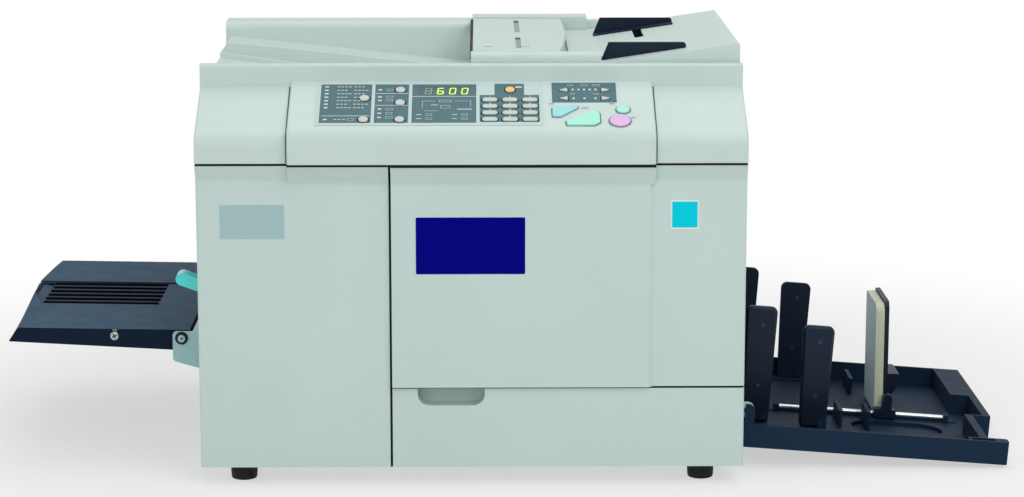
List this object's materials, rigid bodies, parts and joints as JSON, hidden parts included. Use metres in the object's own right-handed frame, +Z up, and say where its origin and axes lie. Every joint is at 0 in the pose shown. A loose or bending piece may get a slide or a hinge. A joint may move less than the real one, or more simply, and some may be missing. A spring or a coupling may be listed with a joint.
{
  "type": "digital duplicator",
  "caption": "Desk-top digital duplicator with a document feeder, sloped control panel, opening front door, folding feed tray and folding exit tray with fins and end stop",
  "frame": {"origin": "on the floor, under the middle of the whole machine with both trays folded out", "axes": "+X to the right along the machine's length, +Y to the back, +Z up"},
  "size_m": [1.2288, 0.612, 0.5205],
  "materials": {
    "casing": "light grey-green moulded casing, fine texture, satin",
    "top_casing": "lighter grey-green moulded casing, fine texture",
    "panel_plate": "slate printed plate",
    "display": "green display window",
    "select_key": "pale key cap",
    "number_key": "pale number key cap",
    "yellow_key": "amber key cap",
    "blue_key": "pale blue key cap",
    "green_key": "pale green key cap",
    "pink_key": "pale pink key cap",
    "scan_glass": "clear float glass",
    "dark_tray": "dark blue-grey moulded tray",
    "fin_plastic": "dark moulded fin",
    "black_plastic": "black moulded plastic",
    "grey_metal": "painted sheet steel",
    "zinc": "zinc-plated sheet steel",
    "steel": "ground steel",
    "rubber": "black rubber",
    "grey_rubber": "grey rubber",
    "teal_lever": "translucent teal plastic",
    "foam": "grey foam pad with pale edge",
    "circuit_green": "green circuit board",
    "paper_roll": "thin master film on a card core",
    "aluminium": "extruded heat sink",
    "ink_plastic": "dark cartridge"
  },
  "bodies": {
    "machine": {"base_pan": "zinc", "rubber_feet": "rubber", "inner_frames": "zinc", "left_front_cover": "casing", "lower_front_panel": "casing", "left_side_cover": "casing", "right_side_cover": "casing", "rear_cover": "casing", "power_inlet": "black_plastic", "main_motor": "steel", "control_board": "circuit_green", "thermal_head": "aluminium", "exit_conveyor": "black_plastic", "ink_cartridge": "ink_plastic", "door_hinge_pins": "zinc"},
    "drum": {"drum_screen": "steel", "drum_flanges": "black_plastic"},
    "motor_pinion": {"motor_pinion": "steel"},
    "press_roller": {"press_roller": "grey_rubber"},
    "pickup_roller": {"pickup_roller": "grey_rubber"},
    "master_roll": {"master_roll": "paper_roll"},
    "front_door": {"front_door": "casing"},
    "power_switch": {"power_switch": "black_plastic"},
    "scanner_unit": {"upper_casing": "top_casing", "control_panel": "panel_plate", "display_window": "display", "scan_glass": "scan_glass", "original_tray": "top_casing"},
    "adf_cover": {"adf_cover": "top_casing"},
    "adf_roller": {"adf_roller": "grey_rubber"},
    "original_guide_front": {"original_guide_front": "black_plastic"},
    "original_guide_back": {"original_guide_back": "black_plastic"},
    "feed_lift": {"feed_lift": "grey_metal"},
    "feed_tray": {"feed_tray": "dark_tray"},
    "feed_lever": {"feed_lever": "teal_lever"},
    "exit_tray": {"exit_tray": "dark_tray", "exit_rail": "steel"},
    "fence_front": {"fence_base_front": "dark_tray"},
    "fence_back": {"fence_base_back": "dark_tray"},
    "fin_front_inner": {"fin_front_inner": "fin_plastic"},
    "fin_front_outer": {"fin_front_outer": "fin_plastic"},
    "fin_back_inner": {"fin_back_inner": "fin_plastic"},
    "fin_back_outer": {"fin_back_outer": "fin_plastic"},
    "stop_carriage": {"stop_carriage": "black_plastic"},
    "stop_flap": {"stop_plate": "fin_plastic", "stop_foam": "foam"},
    "key_numbers_1": {"key_numbers_1": "number_key"},
    "key_numbers_2": {"key_numbers_2": "number_key"},
    "key_numbers_3": {"key_numbers_3": "number_key"},
    "key_select_1": {"key_select_1": "select_key"},
    "key_select_2": {"key_select_2": "select_key"},
    "key_select_3": {"key_select_3": "select_key"},
    "key_select_4": {"key_select_4": "select_key"},
    "key_select_5": {"key_select_5": "select_key"},
    "key_arrows": {"key_arrows": "select_key"},
    "key_wake": {"key_wake": "yellow_key"},
    "key_master": {"key_master": "blue_key"},
    "key_start": {"key_start": "green_key"},
    "key_test": {"key_test": "green_key"},
    "key_stop": {"key_stop": "pink_key"}
  },
  "joints": [
    {"name": "drum_turn", "type": "hinge", "parent": "machine", "child": "drum", "pos_m": [-0.02378, -0.001, 0.25], "axis": [0, 1, 0], "continuous": true},
    {"name": "pinion_turn", "type": "hinge", "parent": "machine", "child": "motor_pinion", "pos_m": [0.04325, 0.172, 0.19376], "axis": [0, 1, 0], "continuous": true},
    {"name": "press_roller_turn", "type": "hinge", "parent": "machine", "child": "press_roller", "pos_m": [-0.02378, -0.001, 0.1495], "axis": [0, 1, 0], "continuous": true},
    {"name": "pickup_roller_turn", "type": "hinge", "parent": "machine", "child": "pickup_roller", "pos_m": [-0.32878, 0.019, 0.255], "axis": [0, 1, 0], "continuous": true},
    {"name": "master_roll_turn", "type": "hinge", "parent": "machine", "child": "master_roll", "pos_m": [-0.20878, -0.006, 0.333], "axis": [0, 1, 0], "continuous": true},
    {"name": "front_door_swing", "type": "hinge", "parent": "machine", "child": "front_door", "pos_m": [0.27122, -0.272, 0.25], "axis": [0, 0, 1], "range_deg": [0, 105]},
    {"name": "power_switch_rock", "type": "hinge", "parent": "machine", "child": "power_switch", "pos_m": [0.27722, 0.214, 0.06], "axis": [0, 0, -1], "range_deg": [0, 8]},
    {"name": "scanner_unit_tilt", "type": "hinge", "parent": "machine", "child": "scanner_unit", "pos_m": [-0.04378, 0.245, 0.471], "axis": [-1, 0, 0], "range_deg": [0, 45]},
    {"name": "adf_cover_open", "type": "hinge", "parent": "scanner_unit", "child": "adf_cover", "pos_m": [-0.03378, -0.001, 0.506], "axis": [0, -1, 0], "range_deg": [0, 70]},
    {"name": "adf_roller_turn", "type": "hinge", "parent": "adf_cover", "child": "adf_roller", "pos_m": [0.00122, -0.001, 0.4984], "axis": [0, 1, 0], "continuous": true},
    {"name": "original_guide_front_slide", "type": "slide", "parent": "scanner_unit", "child": "original_guide_front", "axis": [0, 1, 0], "range_m": [0, 0.085]},
    {"name": "original_guide_back_slide", "type": "slide", "parent": "scanner_unit", "child": "original_guide_back", "axis": [0, 1, 0], "range_m": [-0.085, 0]},
    {"name": "key_numbers_1_press", "type": "slide", "parent": "scanner_unit", "child": "key_numbers_1", "axis": [0, 0.4256, -0.9049], "range_m": [0, 0.0012], "stiffness_N_per_m": 400},
    {"name": "key_numbers_2_press", "type": "slide", "parent": "scanner_unit", "child": "key_numbers_2", "axis": [0, 0.4256, -0.9049], "range_m": [0, 0.0012], "stiffness_N_per_m": 400},
    {"name": "key_numbers_3_press", "type": "slide", "parent": "scanner_unit", "child": "key_numbers_3", "axis": [0, 0.4256, -0.9049], "range_m": [0, 0.0012], "stiffness_N_per_m": 400},
    {"name": "key_select_1_press", "type": "slide", "parent": "scanner_unit", "child": "key_select_1", "axis": [0, 0.4256, -0.9049], "range_m": [0, 0.0012], "stiffness_N_per_m": 400},
    {"name": "key_select_2_press", "type": "slide", "parent": "scanner_unit", "child": "key_select_2", "axis": [0, 0.4256, -0.9049], "range_m": [0, 0.0012], "stiffness_N_per_m": 400},
    {"name": "key_select_3_press", "type": "slide", "parent": "scanner_unit", "child": "key_select_3", "axis": [0, 0.4256, -0.9049], "range_m": [0, 0.0012], "stiffness_N_per_m": 400},
    {"name": "key_select_4_press", "type": "slide", "parent": "scanner_unit", "child": "key_select_4", "axis": [0, 0.4256, -0.9049], "range_m": [0, 0.0012], "stiffness_N_per_m": 400},
    {"name": "key_select_5_press", "type": "slide", "parent": "scanner_unit", "child": "key_select_5", "axis": [0, 0.4256, -0.9049], "range_m": [0, 0.0012], "stiffness_N_per_m": 400},
    {"name": "key_arrows_press", "type": "slide", "parent": "scanner_unit", "child": "key_arrows", "axis": [0, 0.4256, -0.9049], "range_m": [0, 0.0012], "stiffness_N_per_m": 400},
    {"name": "key_wake_press", "type": "slide", "parent": "scanner_unit", "child": "key_wake", "axis": [0, 0.4256, -0.9049], "range_m": [0, 0.0012], "stiffness_N_per_m": 400},
    {"name": "key_master_press", "type": "slide", "parent": "scanner_unit", "child": "key_master", "axis": [0, 0.4256, -0.9049], "range_m": [0, 0.0012], "stiffness_N_per_m": 400},
    {"name": "key_start_press", "type": "slide", "parent": "scanner_unit", "child": "key_start", "axis": [0, 0.4256, -0.9049], "range_m": [0, 0.0012], "stiffness_N_per_m": 400},
    {"name": "key_test_press", "type": "slide", "parent": "scanner_unit", "child": "key_test", "axis": [0, 0.4256, -0.9049], "range_m": [0, 0.0012], "stiffness_N_per_m": 400},
    {"name": "key_stop_press", "type": "slide", "parent": "scanner_unit", "child": "key_stop", "axis": [0, 0.4256, -0.9049], "range_m": [0, 0.0012], "stiffness_N_per_m": 400},
    {"name": "feed_lift_slide", "type": "slide", "parent": "machine", "child": "feed_lift", "axis": [0, 0, 1], "range_m": [0, 0.06]},
    {"name": "feed_tray_fold", "type": "hinge", "parent": "feed_lift", "child": "feed_tray", "pos_m": [-0.39778, 0.021, 0.1625], "axis": [0, 1, 0], "range_deg": [0, 88]},
    {"name": "feed_lever_press", "type": "hinge", "parent": "machine", "child": "feed_lever", "pos_m": [-0.35578, -0.226, 0.23], "axis": [0, -1, 0], "range_deg": [0, 25]},
    {"name": "exit_tray_fold", "type": "hinge", "parent": "machine", "child": "exit_tray", "pos_m": [0.29259, -0.024, 0.07272], "axis": [0, -1, 0], "range_deg": [0, 90]},
    {"name": "fence_front_slide", "type": "slide", "parent": "exit_tray", "child": "fence_front", "axis": [0, -1, 0], "range_m": [-0.06, 0]},
    {"name": "fence_back_slide", "type": "slide", "parent": "exit_tray", "child": "fence_back", "axis": [0, -1, 0], "range_m": [0, 0.06]},
    {"name": "fin_front_inner_fold", "type": "hinge", "parent": "fence_front", "child": "fin_front_inner", "pos_m": [0.32288, -0.105, 0.03936], "axis": [0, -1, 0], "range_deg": [-90, 0]},
    {"name": "fin_front_outer_fold", "type": "hinge", "parent": "fence_front", "child": "fin_front_outer", "pos_m": [0.39497, -0.1145, 0.03394], "axis": [0, -1, 0], "range_deg": [-90, 0]},
    {"name": "fin_back_inner_fold", "type": "hinge", "parent": "fence_back", "child": "fin_back_inner", "pos_m": [0.32288, 0.146, 0.03936], "axis": [0, -1, 0], "range_deg": [-90, 0]},
    {"name": "fin_back_outer_fold", "type": "hinge", "parent": "fence_back", "child": "fin_back_outer", "pos_m": [0.39497, 0.1555, 0.03394], "axis": [0, -1, 0], "range_deg": [-90, 0]},
    {"name": "stop_carriage_slide", "type": "slide", "parent": "exit_tray", "child": "stop_carriage", "axis": [0.9972, 0, -0.075], "range_m": [-0.04, 0.06]},
    {"name": "stop_flap_fold", "type": "hinge", "parent": "stop_carriage", "child": "stop_flap", "pos_m": [0.48922, 0.024, 0.0429], "axis": [0, -1, 0], "range_deg": [-90, 0]}
  ],
  "couplings": [
    {"joint": "pinion_turn", "follows": "drum_turn", "ratio": -4},
    {"joint": "press_roller_turn", "follows": "drum_turn", "ratio": -3},
    {"joint": "original_guide_back_slide", "follows": "original_guide_front_slide", "ratio": -1},
    {"joint": "fence_back_slide", "follows": "fence_front_slide", "ratio": -1},
    {"joint": "fin_front_inner_fold", "follows": "exit_tray_fold", "ratio": -1},
    {"joint": "fin_front_outer_fold", "follows": "exit_tray_fold", "ratio": -1},
    {"joint": "fin_back_inner_fold", "follows": "exit_tray_fold", "ratio": -1},
    {"joint": "fin_back_outer_fold", "follows": "exit_tray_fold", "ratio": -1},
    {"joint": "stop_flap_fold", "follows": "exit_tray_fold", "ratio": -1}
  ]
}
